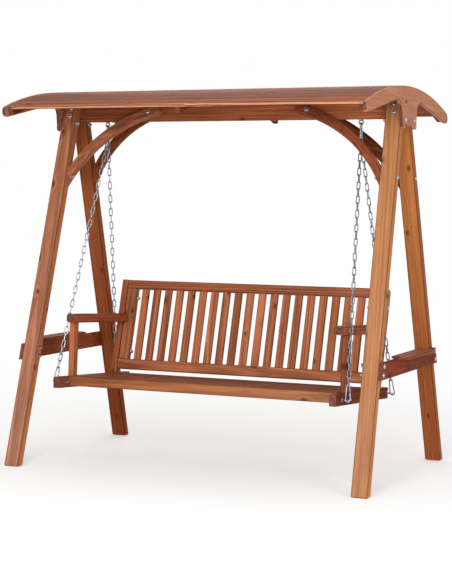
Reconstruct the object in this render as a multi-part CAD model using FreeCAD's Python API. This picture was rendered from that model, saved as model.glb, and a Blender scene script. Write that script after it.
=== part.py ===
import FreeCAD, Part
import math
import os

# Canopy garden swing, in millimetres. +X runs along the seat, -Y is the front, +Z is up.
# The origin lies on the ground in the middle of the four feet.

Vec = FreeCAD.Vector
ORIGIN = Vec(0, 0, 0)
X_AXIS = Vec(1, 0, 0)
Y_AXIS = Vec(0, 1, 0)
Z_AXIS = Vec(0, 0, 1)

# A-frame legs
FOOT_HALF_WIDTH = 956.0
FOOT_HALF_DEPTH = 592.0
LEG_WIDTH = 80.0
LEG_DEPTH = 46.0
LEG_LEAN = math.radians(16.4)
LEG_SPLAY = math.radians(1.1)
LEG_TOP = 1825.0
TIMBER_EASE = 4.0
FOOT_EASE = 5.0

# Ridge beam
BEAM_THICK = 50.0
BEAM_BOTTOM = 1728.0
BEAM_TOP = 1835.0
BEAM_HALF_LENGTH = 919.0

# Knee braces, drawn in the leaning plane of the legs' inner faces
BRACE_THICK = 38.0
BRACE_DEPTH = 46.0
BRACE_INNER_RADIUS = 720.0
BRACE_CENTRE_X = 204.0
BRACE_CENTRE_RISE = 1131.5
BRACE_NOSE_ANGLE = math.radians(14.6)
BRACE_EASE = 3.0
BRACE_TRIM = 3.0
BRACE_FIT_ROUNDS = 30

# Cross rails and side trays
RAIL_BOTTOM = 518.0
RAIL_TOP = 598.0
RAIL_THICK = 17.0
RAIL_EASE = 2.0
TRAY_THICK = 12.0
TRAY_INNER_X = 930.0
TRAY_OUTER_X = 1028.0
TRAY_INNER_HALF = 195.0
TRAY_OUTER_HALF = 255.0
TRAY_CORNER = 45.0
TRAY_EASE = 4.0

# Arched roof
ROOF_CREST = 1882.0
ROOF_RADIUS = 1928.0
ROOF_CENTRE_Z = ROOF_CREST - ROOF_RADIUS
PLANK_THICK = 17.0
PLANK_COUNT = 15
PLANK_WIDTH = 80.0
PLANK_EDGE_Y = 610.0
PLANK_EASE = 2.0
PLANK_SEAT_GAP = 0.05
RIB_THICK = 25.0
RIB_DEPTH = 30.0
RIB_END_Y = 606.0

# Gable boards: points (y, z) of the front half of the outline, from the arm's tip round to the notch
GABLE_THICK = 17.0
GABLE_EASE = 2.0
GABLE_EASED_LENGTH = 100.0
GABLE_TIP_TOP_Y = -612.0
GABLE_TIP = (-630.0, 1762.0)
GABLE_TIP_LOW = (-606.0, 1731.0)
GABLE_ARM_MIDDLE = (-400.0, 1770.0)
GABLE_ARM_ROOT = (-190.0, 1811.0)
GABLE_FILLET_MIDDLE = (-127.0, 1791.0)
GABLE_TAB_TOP = (-111.0, 1755.0)
GABLE_TAB_SIDE = (-103.0, 1702.0)
GABLE_CORNER_MIDDLE = (-100.0, 1688.0)
GABLE_PRONG_OUTER = (-90.0, 1680.0)
GABLE_PRONG_INNER = (-78.0, 1680.0)
GABLE_NOTCH = (0.0, 1700.0)

# Through bolts of the frame
BOLT_DIAMETER = 10.0
BOLT_HOLE = 11.0
BOLT_FLANGE = 24.0
BOLT_FLANGE_THICK = 2.0
BOLT_DOME = 18.0
BOLT_DOME_HEIGHT = 6.0
NUT_FLATS = 16.0
NUT_HEIGHT = 8.0
NUT_BORE = 10.2
SHANK_STANDOUT = 4.0
SPOT_FACE = 27.0
LEG_BOLT_HEIGHTS = (1795.0, 1757.0)
BRACE_TOP_BOLT = (433.0, 1774.0)
BRACE_LOW_BOLT_Z = 1447.0
BRACE_LOW_BOLT_INSET = 23.0
TAB_BOLT_Y = 68.0
TAB_BOLT_Z = 1720.0
RAIL_BOLT_HEIGHTS = (580.0, 540.0)

# Swinging seat: its own frame has s along the side rails from their front ends and n above them
SEAT_FRONT_Y = -456.0
SEAT_FRONT_Z = 388.0
SEAT_TILT = 3.64
SEAT_INNER_X = 717.0
SIDE_RAIL_THICK = 35.0
SIDE_RAIL_LENGTH = 751.0
SIDE_RAIL_HEIGHT = 56.0
SEAT_OUTER_X = SEAT_INNER_X + SIDE_RAIL_THICK
SEAT_EASE = 3.0
FRONT_BOARD_S = 102.0
FRONT_BOARD_THICK = 34.0
BOARD_BOTTOM = 8.0
BOARD_TOP = 58.0
REAR_BOARD_S = 595.0
REAR_BOARD_THICK = 20.0
SEAT_PLANK_COUNT = 5
SEAT_PLANK_THICK = 22.0
SEAT_PLANK_GAP = 8.0
SEAT_PLANK_END_GAP = 1.0
BEARER_WIDTH = 35.0
BEARER_HEIGHT = 26.0
BEARER_TOP = BOARD_TOP - SEAT_PLANK_THICK
SCREW_DIAMETER = 6.0
SCREW_HOLE = 6.2
SCREW_HEAD = 13.0
SCREW_HEAD_HEIGHT = 4.0
SCREW_REACH = 25.0
SCREW_TIP_GAP = 1.0
BEARER_SCREW_S = (200.0, 545.0)
BEARER_SCREW_N = BEARER_TOP - BEARER_HEIGHT / 2
ARM_POST_S = 142.0
ARM_POST_DEPTH = 36.0
ARM_BOTTOM = 327.0
ARM_TOP = 371.0
ARM_FRONT_S = 97.0
ARM_INNER_X = 690.0
ARM_OUTER_X = 746.0
ARM_FRONT_ROUND = 16.0

# Backrest, raked back from the seat: measured up along the posts and back from their front faces
BACK_FOOT_S = 594.0
BACK_RAKE = 12.2
BACK_POST_DEPTH = 47.0
BACK_TOP = 509.0
POST_TOP_ROUND = 18.0
BACK_RAIL_FRONT = 5.0
BACK_RAIL_THICK = 27.0
TOP_RAIL_BOTTOM = 462.0
BOTTOM_RAIL = (25.0, 79.0)
STILE_INNER_X = 657.0
SLAT_COUNT = 19
SLAT_PITCH = 67.8
SLAT_WIDTH = 42.8
SLAT_THICK = 13.0
STILE_BOLT_UP = (413.0, 122.6)
STILE_BOLT_BACK = 23.0

# Eye bolts
EYE_WIRE = 7.0
EYE_RADIUS = 10.5
EYE_SHANK = 8.0
EYE_COLLAR = 20.0
EYE_COLLAR_THICK = 3.0
EYE_HOLE = 9.0
EYE_NUT = dict(bore=8.2, flats=13.0, height=6.5, flange=20.0)
BEAM_EYE_X = 695.0
BEAM_EYE_Z = 1713.5
RAIL_EYE_X = 772.0
RAIL_EYE_N = 28.0
RAIL_EYE_S = (71.0, 729.5)

# Chains
LINK_WIRE = 5.0
LINK_INNER_LENGTH = 36.3
LINK_INNER_WIDTH = 10.0
LINKS_PER_CHAIN = 34
LINK_FLATS = 8
LEFT_CHAIN_TURN = math.radians(-30.0)
CHAIN_TURN_LINKS = 5

# Snap hooks: wire, radius of the wide bend, radius of the narrow bend, distance between the bends
TOP_HOOK = (7.0, 13.0, 8.0, 66.0)
RAIL_HOOK = (6.5, 11.5, 7.5, 62.0)
WIRE_PLAY = 0.35
CHAIN_SPREAD = math.radians(21.0)
NOSE_RUN = 5.0
HINGE_DROP = 9.0
GATE_END_GAP = 0.4
GATE_NOSE_GAP = 0.5
TONGUE_THICK = 1.6
TONGUE_RADIUS = 2.3
TONGUE_SINK = 2.0
FORK_SLOT = 2.4
FORK_SLOT_DEPTH = 3.2
PIN_DIAMETER = 2.0
PIN_HOLE = 2.1
PIN_STANDOUT = 0.3

# How close an edge lies to the place it is picked by
PICK = 0.01


def box(x0, x1, y0, y1, z0, z1):
    return Part.makeBox(x1 - x0, y1 - y0, z1 - z0, Vec(x0, y0, z0))


def rod(start, direction, length, diameter):
    return Part.makeCylinder(diameter / 2, length, start, direction)


def bored(shape, point, direction, diameter, reach=200.0):
    """Cut a round hole that runs through the shape on both sides of a point."""
    start = point - direction * reach
    return shape.cut(rod(start, direction, 2 * reach, diameter))


def spot_faced(shape, seat, outward, diameter, reach=60.0):
    """Cut a flat round seat for a bolt head or nut, open on its outward side."""
    return shape.cut(rod(seat, outward, reach, diameter))


def eased(shape, size, shortest):
    """Chamfer every straight edge that is longer than the stated length."""
    straight = [e for e in shape.Edges if e.Length > shortest and isinstance(e.Curve, Part.Line)]
    return shape.makeChamfer(size, straight)


def arc(start, middle, end):
    return Part.Arc(start, middle, end).toShape()


def line(start, end):
    return Part.makeLine(start, end)


def prism(edges, direction):
    return Part.Face(Part.Wire(edges)).extrude(direction)


def polygon_prism(points, direction):
    return Part.Face(Part.makePolygon(points + points[:1])).extrude(direction)


def axes_placement(origin, x_dir, z_dir):
    y_dir = z_dir.cross(x_dir)
    return FreeCAD.Placement(FreeCAD.Matrix(
        x_dir.x, y_dir.x, z_dir.x, origin.x,
        x_dir.y, y_dir.y, z_dir.y, origin.y,
        x_dir.z, y_dir.z, z_dir.z, origin.z,
        0, 0, 0, 1))


def placed(shape, placement):
    return shape.transformed(placement.toMatrix())


def mirror_x(shape):
    return shape.mirror(ORIGIN, X_AXIS)


def mirror_y(shape):
    return shape.mirror(ORIGIN, Y_AXIS)


def save(name, shapes):
    solids = [solid for shape in shapes for solid in shape.Solids]
    Part.makeCompound(solids).exportStep(os.path.join("parts", name + ".step"))


def save_sides(stem, right):
    save(stem + "_right", [right])
    save(stem + "_left", [mirror_x(right)])


def save_pairs(name, right):
    save(name, right + [mirror_x(shape) for shape in right])


def save_corners(stem, front_right):
    save_sides(stem + "_front", front_right)
    save_sides(stem + "_rear", mirror_y(front_right))


# Where the leaning faces of the legs lie

def leg_outer_x(z):
    return FOOT_HALF_WIDTH - z * math.tan(LEG_SPLAY)


def leg_front_y(z):
    return -(FOOT_HALF_DEPTH - z * math.tan(LEG_LEAN))


def leg_back_y(z):
    return leg_front_y(z) + LEG_DEPTH / math.cos(LEG_LEAN)


def leg_middle_y(z):
    return (leg_front_y(z) + leg_back_y(z)) / 2


SIDE_NORMAL = Vec(math.cos(LEG_SPLAY), 0, math.sin(LEG_SPLAY))


# Fasteners

def dome_cap(base, direction, diameter, height):
    """A shallow spherical cap that stands on its base along the direction."""
    half = diameter / 2
    radius = (half ** 2 + height ** 2) / (2 * height)
    rim = math.degrees(math.asin((radius - height) / radius))
    return Part.makeSphere(radius, base - direction * (radius - height), direction, rim, 90, 360)


def bolt(seat, direction, grip):
    """A flanged dome-headed bolt: its head bears at the seat and the shank runs along the direction."""
    flange = rod(ORIGIN, -Z_AXIS, BOLT_FLANGE_THICK, BOLT_FLANGE)
    dome = dome_cap(Vec(0, 0, -BOLT_FLANGE_THICK), -Z_AXIS, BOLT_DOME, BOLT_DOME_HEIGHT)
    length = grip + BOLT_FLANGE_THICK + NUT_HEIGHT + SHANK_STANDOUT
    solid = flange.fuse([dome, rod(ORIGIN, Z_AXIS, length, BOLT_DIAMETER)])
    return placed(solid, FreeCAD.Placement(seat, FreeCAD.Rotation(Z_AXIS, direction)))


def nut(seat, direction, bore=NUT_BORE, flats=NUT_FLATS, height=NUT_HEIGHT, flange=BOLT_FLANGE):
    """A hexagon nut on a washer: it bears at the seat and stands out along the direction."""
    radius = flats / math.sqrt(3)
    corners = [Vec(radius * math.cos(math.radians(60 * i)), radius * math.sin(math.radians(60 * i)), 0)
               for i in range(6)]
    washer = rod(ORIGIN, Z_AXIS, BOLT_FLANGE_THICK, flange)
    hexagon = polygon_prism(corners, Vec(0, 0, BOLT_FLANGE_THICK + height))
    solid = bored(washer.fuse(hexagon), ORIGIN, Z_AXIS, bore)
    return placed(solid, FreeCAD.Placement(seat, FreeCAD.Rotation(Z_AXIS, direction)))


def leg_bolt_seat(z):
    """Front seat of a bolt that runs back through the leg, the beam and the rear leg."""
    depth = SPOT_FACE / 2 * math.tan(LEG_LEAN)
    return Vec(leg_outer_x(z) - LEG_WIDTH / 2, leg_front_y(z) + depth, z)


def brace_front_y(z):
    return leg_back_y(z) - BRACE_THICK / math.cos(LEG_LEAN)


def brace_top_seat():
    x, z = BRACE_TOP_BOLT
    return Vec(x, brace_front_y(z) + SPOT_FACE / 2 * math.tan(LEG_LEAN), z)


def brace_low_point():
    """Where the lower brace bolt enters the outer face of the leg."""
    z = BRACE_LOW_BOLT_Z
    return Vec(leg_outer_x(z), leg_back_y(z) - BRACE_LOW_BOLT_INSET / math.cos(LEG_LEAN), z)


def brace_low_grip():
    """Length from the leg's outer face to the nut's flat seat in the underside of the brace."""
    up_plane = BRACE_LOW_BOLT_Z / math.cos(LEG_LEAN) - BRACE_LOW_BOLT_INSET * math.tan(LEG_LEAN)
    rise = up_plane - BRACE_CENTRE_RISE
    run = math.sqrt(BRACE_INNER_RADIUS ** 2 - rise ** 2)
    seat_x = BRACE_CENTRE_X + run + SPOT_FACE / 2 * rise / run
    return brace_low_point().x - seat_x


def tab_bolt_point():
    return Vec(leg_outer_x(TAB_BOLT_Z), -TAB_BOLT_Y, TAB_BOLT_Z)


def rail_bolt_point(z):
    return Vec(leg_outer_x(z), leg_middle_y(z), z)


# Frame timbers

def leg():
    """Front right leg, leaning back to the beam and in towards the other A-frame."""
    inner_x = FOOT_HALF_WIDTH - LEG_WIDTH
    foot = [Vec(inner_x, leg_front_y(0), 0), Vec(FOOT_HALF_WIDTH, leg_front_y(0), 0),
            Vec(FOOT_HALF_WIDTH, leg_back_y(0), 0), Vec(inner_x, leg_back_y(0), 0)]
    rise = Vec(-LEG_TOP * math.tan(LEG_SPLAY), LEG_TOP * math.tan(LEG_LEAN), LEG_TOP)
    shape = eased(polygon_prism(foot, rise), TIMBER_EASE, LEG_TOP / 2)
    sole = min(shape.Faces, key=lambda face: face.CenterOfMass.z)
    shape = shape.makeChamfer(FOOT_EASE, sole.Edges).cut(beam_face_cutter())
    for z in LEG_BOLT_HEIGHTS:
        seat = leg_bolt_seat(z)
        shape = spot_faced(bored(shape, seat, Y_AXIS, BOLT_HOLE), seat, -Y_AXIS, SPOT_FACE)
    side_points = [brace_low_point(), tab_bolt_point()]
    side_points += [rail_bolt_point(z) for z in RAIL_BOLT_HEIGHTS]
    for point in side_points:
        shape = bored(shape, point, SIDE_NORMAL, BOLT_HOLE)
    return shape


def beam_face_cutter():
    """Everything behind the front face of the beam, for timbers that are cut to lie against it."""
    face_y = -BEAM_THICK / 2
    return box(0, FOOT_HALF_WIDTH, face_y, FOOT_HALF_DEPTH, BEAM_BOTTOM, ROOF_CREST)


def leg_side_cutter():
    """Everything outside the inner faces of the right legs, for braces that end against them."""
    inner = -LEG_WIDTH * math.cos(LEG_SPLAY)
    return on_frame_side(box(inner, LEG_WIDTH, -FOOT_HALF_DEPTH, FOOT_HALF_DEPTH, RAIL_TOP, LEG_TOP))


def top_beam():
    half = BEAM_THICK / 2
    shape = box(-BEAM_HALF_LENGTH, BEAM_HALF_LENGTH, -half, half, BEAM_BOTTOM, BEAM_TOP)
    shape = eased(shape, TIMBER_EASE, BEAM_HALF_LENGTH)
    seats = [leg_bolt_seat(z) for z in LEG_BOLT_HEIGHTS] + [brace_top_seat()]
    for side in (-1, 1):
        for seat in seats:
            shape = bored(shape, Vec(side * seat.x, seat.y, seat.z), Y_AXIS, BOLT_HOLE)
        shape = bored(shape, Vec(side * BEAM_EYE_X, 0, BEAM_TOP), Z_AXIS, EYE_HOLE)
    return shape


def meet_leg(radius):
    """Where a brace arc of this radius ends just inside the leg, in the leaning plane."""
    rise = BRACE_CENTRE_RISE
    for _ in range(BRACE_FIT_ROUNDS):
        x = leg_outer_x(rise * math.cos(LEG_LEAN)) - LEG_WIDTH + BRACE_TRIM
        rise = BRACE_CENTRE_RISE + math.sqrt(radius ** 2 - (x - BRACE_CENTRE_X) ** 2)
    return Vec(x, rise, 0)


def on_brace(radius, angle):
    """A point of the brace in the leaning plane, with the angle measured from straight up."""
    return Vec(BRACE_CENTRE_X + radius * math.sin(angle), BRACE_CENTRE_RISE + radius * math.cos(angle), 0)


def arc_middle(radius, foot):
    """The middle point of a brace arc from its foot on the leg to the nose."""
    foot_angle = math.atan2(foot.x - BRACE_CENTRE_X, foot.y - BRACE_CENTRE_RISE)
    return on_brace(radius, (foot_angle + BRACE_NOSE_ANGLE) / 2)


def knee_brace():
    """Front right brace: a curved plank with a rounded nose against the beam."""
    inner, outer = BRACE_INNER_RADIUS, BRACE_INNER_RADIUS + BRACE_DEPTH
    low, high = meet_leg(inner), meet_leg(outer)
    nose_in, nose_out = on_brace(inner, BRACE_NOSE_ANGLE), on_brace(outer, BRACE_NOSE_ANGLE)
    middle = (inner + outer) / 2
    tip = on_brace(middle, BRACE_NOSE_ANGLE - BRACE_DEPTH / 2 / middle)
    outline = [
        line(low, high),
        arc(high, arc_middle(outer, high), nose_out),
        arc(nose_out, tip, nose_in),
        arc(nose_in, arc_middle(inner, low), low)]
    shape = prism(outline, Vec(0, 0, BRACE_THICK))
    rims = [e for e in shape.Edges if e.Length > BRACE_INNER_RADIUS / 2]
    shape = shape.makeChamfer(BRACE_EASE, rims)
    lean = FreeCAD.Rotation(X_AXIS, 90 - math.degrees(LEG_LEAN))
    shape = placed(shape, FreeCAD.Placement(Vec(0, leg_back_y(0), 0), lean))
    shape = shape.cut(beam_face_cutter()).cut(leg_side_cutter())
    seat = brace_top_seat()
    shape = spot_faced(bored(shape, seat, Y_AXIS, BOLT_HOLE), seat, -Y_AXIS, SPOT_FACE)
    point = brace_low_point()
    nut_seat = point - SIDE_NORMAL * brace_low_grip()
    return spot_faced(bored(shape, point, SIDE_NORMAL, BOLT_HOLE), nut_seat, -SIDE_NORMAL, SPOT_FACE)


def cross_rail():
    """Right cross rail, with ends cut to the slope of the legs' outer edges."""
    low, high = leg_front_y(RAIL_BOTTOM), leg_front_y(RAIL_TOP)
    corners = [Vec(0, low, RAIL_BOTTOM), Vec(0, -low, RAIL_BOTTOM),
               Vec(0, -high, RAIL_TOP), Vec(0, high, RAIL_TOP)]
    shape = on_frame_side(polygon_prism(corners, Vec(RAIL_THICK, 0, 0)))
    level = RAIL_TOP * math.cos(LEG_SPLAY)
    shape = shape.cut(box(0, TRAY_OUTER_X, low, -low, level, RAIL_TOP + TRAY_THICK))
    shape = eased(shape, RAIL_EASE, FOOT_HALF_DEPTH)
    for z in RAIL_BOLT_HEIGHTS:
        for side in (-1, 1):
            point = rail_bolt_point(z)
            shape = bored(shape, Vec(point.x, side * point.y, z), SIDE_NORMAL, BOLT_HOLE)
    return shape


def on_frame_side(shape):
    """Tilt a board drawn upright at x = 0 so that it lies against the legs' outer faces."""
    splay = FreeCAD.Rotation(Y_AXIS, -math.degrees(LEG_SPLAY))
    return placed(shape, FreeCAD.Placement(Vec(FOOT_HALF_WIDTH, 0, 0), splay))


def side_tray():
    """Right side tray: wider towards its rounded outer corners, lying on the cross rail."""
    corners = [(TRAY_INNER_X, -TRAY_INNER_HALF), (TRAY_OUTER_X, -TRAY_OUTER_HALF),
               (TRAY_OUTER_X, TRAY_OUTER_HALF), (TRAY_INNER_X, TRAY_INNER_HALF)]
    shape = polygon_prism([Vec(x, y, RAIL_TOP) for x, y in corners], Vec(0, 0, TRAY_THICK))
    upright = [e for e in shape.Edges if abs(e.Length - TRAY_THICK) < PICK]
    outer = [e for e in upright if abs(e.CenterOfMass.x - TRAY_OUTER_X) < PICK]
    shape = shape.makeFillet(TRAY_CORNER, outer)
    top = max(shape.Faces, key=lambda face: face.CenterOfMass.z)
    return shape.makeChamfer(TRAY_EASE, top.Edges)


# Arched roof

def roof_point(radius, y):
    return Vec(0, y, ROOF_CENTRE_Z + math.sqrt(radius ** 2 - y ** 2))


def gable_half():
    """Edges of the front half of the gable outline, from the crest round to the notch."""
    crest = roof_point(ROOF_RADIUS, 0)
    shoulder = roof_point(ROOF_RADIUS, GABLE_TIP_TOP_Y / 2)
    tip_top = roof_point(ROOF_RADIUS, GABLE_TIP_TOP_Y)
    tip_low, arm_root = Vec(0, *GABLE_TIP_LOW), Vec(0, *GABLE_ARM_ROOT)
    tab_top, tab_side = Vec(0, *GABLE_TAB_TOP), Vec(0, *GABLE_TAB_SIDE)
    prong_outer, prong_inner = Vec(0, *GABLE_PRONG_OUTER), Vec(0, *GABLE_PRONG_INNER)
    return [
        arc(crest, shoulder, tip_top),
        arc(tip_top, Vec(0, *GABLE_TIP), tip_low),
        arc(tip_low, Vec(0, *GABLE_ARM_MIDDLE), arm_root),
        arc(arm_root, Vec(0, *GABLE_FILLET_MIDDLE), tab_top),
        line(tab_top, tab_side),
        arc(tab_side, Vec(0, *GABLE_CORNER_MIDDLE), prong_outer),
        line(prong_outer, prong_inner),
        line(prong_inner, Vec(0, *GABLE_NOTCH))]


def gable_board():
    """Right gable: a T of two curved arms and a notched tab, flush with the roof."""
    front = gable_half()
    rear = [mirror_y(edge) for edge in front]
    outline = Part.Wire(Part.__sortEdges__(front + rear))
    shape = Part.Face(outline).extrude(Vec(GABLE_THICK, 0, 0))
    face = max(shape.Faces, key=lambda side: side.CenterOfMass.x)
    under_arms = [e for e in face.Edges if e.Length > GABLE_EASED_LENGTH and e.CenterOfMass.z < BEAM_TOP]
    shape = on_frame_side(shape.makeChamfer(GABLE_EASE, under_arms))
    for side in (-1, 1):
        point = tab_bolt_point()
        shape = bored(shape, Vec(point.x, side * point.y, point.z), SIDE_NORMAL, BOLT_HOLE)
    return shape


def roof_rib(x0):
    """A curved rib under the planks with a flat seat on the beam."""
    top = ROOF_RADIUS - PLANK_THICK
    low = top - RIB_DEPTH
    low_end = RIB_END_Y * low / top
    outline = [
        arc(roof_point(top, -RIB_END_Y), roof_point(top, 0), roof_point(top, RIB_END_Y)),
        line(roof_point(top, RIB_END_Y), roof_point(low, low_end)),
        arc(roof_point(low, low_end), roof_point(low, 0), roof_point(low, -low_end)),
        line(roof_point(low, -low_end), roof_point(top, -RIB_END_Y))]
    shape = prism(outline, Vec(RIB_THICK, 0, 0))
    shape.translate(Vec(x0, 0, 0))
    half = BEAM_THICK / 2
    return shape.cut(box(-BEAM_HALF_LENGTH, BEAM_HALF_LENGTH, -half, half, BEAM_BOTTOM, BEAM_TOP))


def roof_planks():
    under = ROOF_RADIUS - PLANK_THICK
    half_turn = math.asin(PLANK_EDGE_Y / under)
    step = 2 * half_turn / PLANK_COUNT
    half = PLANK_WIDTH / 2
    plank = box(-BEAM_HALF_LENGTH, BEAM_HALF_LENGTH, -half, half, 0, PLANK_THICK)
    plank.translate(Vec(0, 0, under + PLANK_SEAT_GAP))
    plank = eased(plank, PLANK_EASE, BEAM_HALF_LENGTH)
    planks = []
    for i in range(PLANK_COUNT):
        turn = FreeCAD.Rotation(X_AXIS, math.degrees(half_turn - (i + 0.5) * step))
        planks.append(placed(plank, FreeCAD.Placement(Vec(0, 0, ROOF_CENTRE_Z), turn)))
    return planks


def frame_fasteners():
    """All the bolts of the frame and the nuts on their far ends."""
    bolts, nuts = [], []
    for seat in [leg_bolt_seat(z) for z in LEG_BOLT_HEIGHTS] + [brace_top_seat()]:
        for side in (-1, 1):
            start = Vec(side * seat.x, seat.y, seat.z)
            bolts.append(bolt(start, Y_AXIS, -2 * seat.y))
            nuts.append(nut(Vec(start.x, -start.y, start.z), Y_AXIS))
    leg_grip = LEG_WIDTH * math.cos(LEG_SPLAY)
    sideways = [(brace_low_point(), 0, brace_low_grip()), (tab_bolt_point(), GABLE_THICK, leg_grip)]
    sideways += [(rail_bolt_point(z), RAIL_THICK, leg_grip) for z in RAIL_BOLT_HEIGHTS]
    inward = -SIDE_NORMAL
    for point, board, grip in sideways:
        one_bolt = bolt(point + SIDE_NORMAL * board, inward, board + grip)
        one_nut = nut(point + inward * grip, inward)
        for side in (lambda s: s, mirror_x):
            bolts += [side(one_bolt), mirror_y(side(one_bolt))]
            nuts += [side(one_nut), mirror_y(side(one_nut))]
    return bolts, nuts


# Swinging seat

SEAT_PLACE = FreeCAD.Placement(Vec(0, SEAT_FRONT_Y, SEAT_FRONT_Z), FreeCAD.Rotation(X_AXIS, -SEAT_TILT))
BACK_LOCAL = FreeCAD.Placement(Vec(0, BACK_FOOT_S, SIDE_RAIL_HEIGHT), FreeCAD.Rotation(X_AXIS, -BACK_RAKE))
BACK_PLACE = SEAT_PLACE.multiply(BACK_LOCAL)


def side_rail():
    shape = box(SEAT_INNER_X, SEAT_OUTER_X, 0, SIDE_RAIL_LENGTH, 0, SIDE_RAIL_HEIGHT)
    shape = eased(shape, SEAT_EASE, SIDE_RAIL_LENGTH / 2)
    for s in RAIL_EYE_S:
        shape = bored(shape, Vec(SEAT_INNER_X, s, RAIL_EYE_N), X_AXIS, EYE_HOLE)
    for s in BEARER_SCREW_S:
        shape = bored(shape, Vec(SEAT_INNER_X, s, BEARER_SCREW_N), X_AXIS, SCREW_HOLE)
    return shape


def seat_board(s0, thick):
    """Front or rear board between the side rails."""
    shape = box(-SEAT_INNER_X, SEAT_INNER_X, s0, s0 + thick, BOARD_BOTTOM, BOARD_TOP)
    return eased(shape, SEAT_EASE, SEAT_INNER_X)


def seat_bearer(x0):
    front = FRONT_BOARD_S + FRONT_BOARD_THICK
    shape = box(x0, x0 + BEARER_WIDTH, front, REAR_BOARD_S, BEARER_TOP - BEARER_HEIGHT, BEARER_TOP)
    if x0 > 0:
        for s in BEARER_SCREW_S:
            shape = bored(shape, Vec(SEAT_INNER_X, s, BEARER_SCREW_N), X_AXIS, SCREW_HOLE, SCREW_REACH)
    return shape


def seat_planks():
    front = FRONT_BOARD_S + FRONT_BOARD_THICK
    room = REAR_BOARD_S - front
    pitch = (room - SEAT_PLANK_GAP) / SEAT_PLANK_COUNT
    half = SEAT_INNER_X - SEAT_PLANK_END_GAP
    planks = []
    for i in range(SEAT_PLANK_COUNT):
        s0 = front + SEAT_PLANK_GAP + i * pitch
        plank = box(-half, half, s0, s0 + pitch - SEAT_PLANK_GAP, BEARER_TOP, BOARD_TOP)
        planks.append(eased(plank, SEAT_EASE, SEAT_INNER_X))
    return planks


def bearer_screws():
    """Dome-headed screws through the right side rail into its bearer."""
    screws = []
    for s in BEARER_SCREW_S:
        start = Vec(SEAT_OUTER_X, s, BEARER_SCREW_N)
        head = dome_cap(start, X_AXIS, SCREW_HEAD, SCREW_HEAD_HEIGHT)
        shank = rod(start, -X_AXIS, SIDE_RAIL_THICK + SCREW_REACH - SCREW_TIP_GAP, SCREW_DIAMETER)
        screws.append(head.fuse(shank))
    return screws


def arm_post():
    rear = ARM_POST_S + ARM_POST_DEPTH
    shape = box(SEAT_INNER_X, SEAT_OUTER_X, ARM_POST_S, rear, SIDE_RAIL_HEIGHT, ARM_BOTTOM)
    return eased(shape, SEAT_EASE, ARM_BOTTOM / 2)


def back_front_s(n):
    """Front face of the back posts at a height above the rails' undersides."""
    return BACK_FOOT_S + (n - SIDE_RAIL_HEIGHT) * math.tan(math.radians(BACK_RAKE))


def armrest():
    """Right armrest: rounded at the front, cut at the rear to lie against the back post."""
    profile = [(ARM_FRONT_S, ARM_BOTTOM), (back_front_s(ARM_BOTTOM), ARM_BOTTOM),
               (back_front_s(ARM_TOP), ARM_TOP), (ARM_FRONT_S, ARM_TOP)]
    width = ARM_OUTER_X - ARM_INNER_X
    shape = polygon_prism([Vec(ARM_INNER_X, s, n) for s, n in profile], Vec(width, 0, 0))
    across = [e for e in shape.Edges if abs(e.Length - width) < PICK]
    front = [e for e in across if abs(e.CenterOfMass.y - ARM_FRONT_S) < PICK]
    shape = shape.makeFillet(ARM_FRONT_ROUND, front)
    return eased(shape, SEAT_EASE, ARM_BOTTOM)


def back_post():
    """Right back post in the raked frame, its foot cut to stand on the side rail."""
    sink = BACK_POST_DEPTH * math.tan(math.radians(BACK_RAKE))
    corners = [Vec(SEAT_INNER_X, 0, 0), Vec(SEAT_INNER_X, BACK_POST_DEPTH, sink),
               Vec(SEAT_INNER_X, BACK_POST_DEPTH, BACK_TOP), Vec(SEAT_INNER_X, 0, BACK_TOP)]
    shape = polygon_prism(corners, Vec(SIDE_RAIL_THICK, 0, 0))
    top = [e for e in shape.Edges if abs(e.CenterOfMass.z - BACK_TOP) < PICK]
    rear_top = [e for e in top if abs(e.CenterOfMass.y - BACK_POST_DEPTH) < PICK]
    shape = eased(shape.makeFillet(POST_TOP_ROUND, rear_top), SEAT_EASE, BACK_TOP / 2)
    return with_stile_holes(shape)


def with_stile_holes(shape):
    for up in STILE_BOLT_UP:
        shape = bored(shape, Vec(SEAT_INNER_X, STILE_BOLT_BACK, up), X_AXIS, BOLT_HOLE)
    return shape


def back_member(x0, x1, up0, up1):
    """A rail or stile of the backrest frame."""
    rear = BACK_RAIL_FRONT + BACK_RAIL_THICK
    return eased(box(x0, x1, BACK_RAIL_FRONT, rear, up0, up1), SEAT_EASE, BACK_TOP / 2)


def back_slats():
    front = BACK_RAIL_FRONT + (BACK_RAIL_THICK - SLAT_THICK) / 2
    half = SLAT_WIDTH / 2
    slats = []
    for i in range(SLAT_COUNT):
        x = (i - (SLAT_COUNT - 1) / 2) * SLAT_PITCH
        slat = box(x - half, x + half, front, front + SLAT_THICK, BOTTOM_RAIL[1], TOP_RAIL_BOTTOM)
        slats.append(eased(slat, SEAT_EASE, TOP_RAIL_BOTTOM / 2))
    return slats


def stile_fasteners():
    """Right-hand bolts through the back post and stile, with nuts on the stile's inner edge."""
    bolts, nuts = [], []
    for up in STILE_BOLT_UP:
        bolts.append(bolt(Vec(SEAT_OUTER_X, STILE_BOLT_BACK, up), -X_AXIS, SEAT_OUTER_X - STILE_INNER_X))
        nuts.append(nut(Vec(STILE_INNER_X, STILE_BOLT_BACK, up), -X_AXIS))
    return bolts, nuts


# Suspension

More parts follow.
